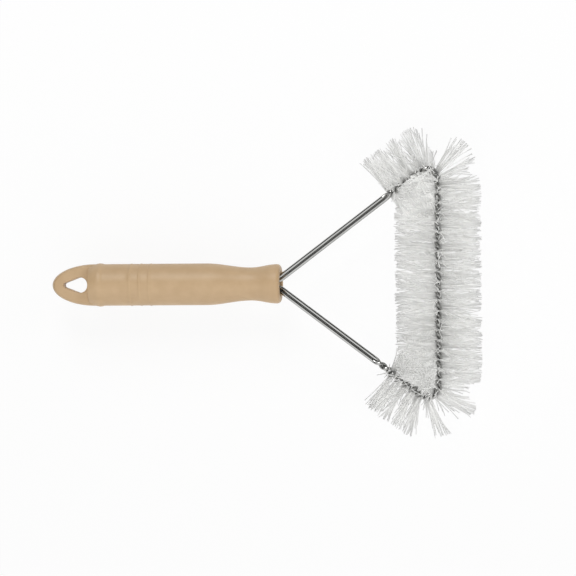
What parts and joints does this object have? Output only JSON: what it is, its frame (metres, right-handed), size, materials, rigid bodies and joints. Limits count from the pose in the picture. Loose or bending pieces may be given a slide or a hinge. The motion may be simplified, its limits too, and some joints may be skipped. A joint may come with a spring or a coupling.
{
  "type": "window screen brush",
  "caption": "Triangular twisted-in-wire brush with white nylon bristles on a moulded beige handle with a hanging tab, for dusting window screens.",
  "frame": {"origin": "centre of the brush's box, on the handle's axis", "axes": "+X along the handle from the hanging tab to the bristled crossbar, +Y along the crossbar, +Z out of the plane of the wire triangle"},
  "size_m": [0.2486, 0.1805, 0.0506],
  "materials": {
    "handle_plastic": "moulded beige polypropylene with a soft satin sheen",
    "wedge_plastic": "plain moulded beige plastic",
    "core_wire_steel": "bright drawn and galvanised steel wire",
    "bristle_nylon": "white translucent nylon filament"
  },
  "bodies": {
    "root": {"handle": "handle_plastic", "wire_wedge": "wedge_plastic", "outer_core_wire": "core_wire_steel", "inner_core_wire": "core_wire_steel", "upper_arm_bristles": "bristle_nylon", "crossbar_bristles": "bristle_nylon", "lower_arm_bristles": "bristle_nylon"}
  },
  "joints": []
}
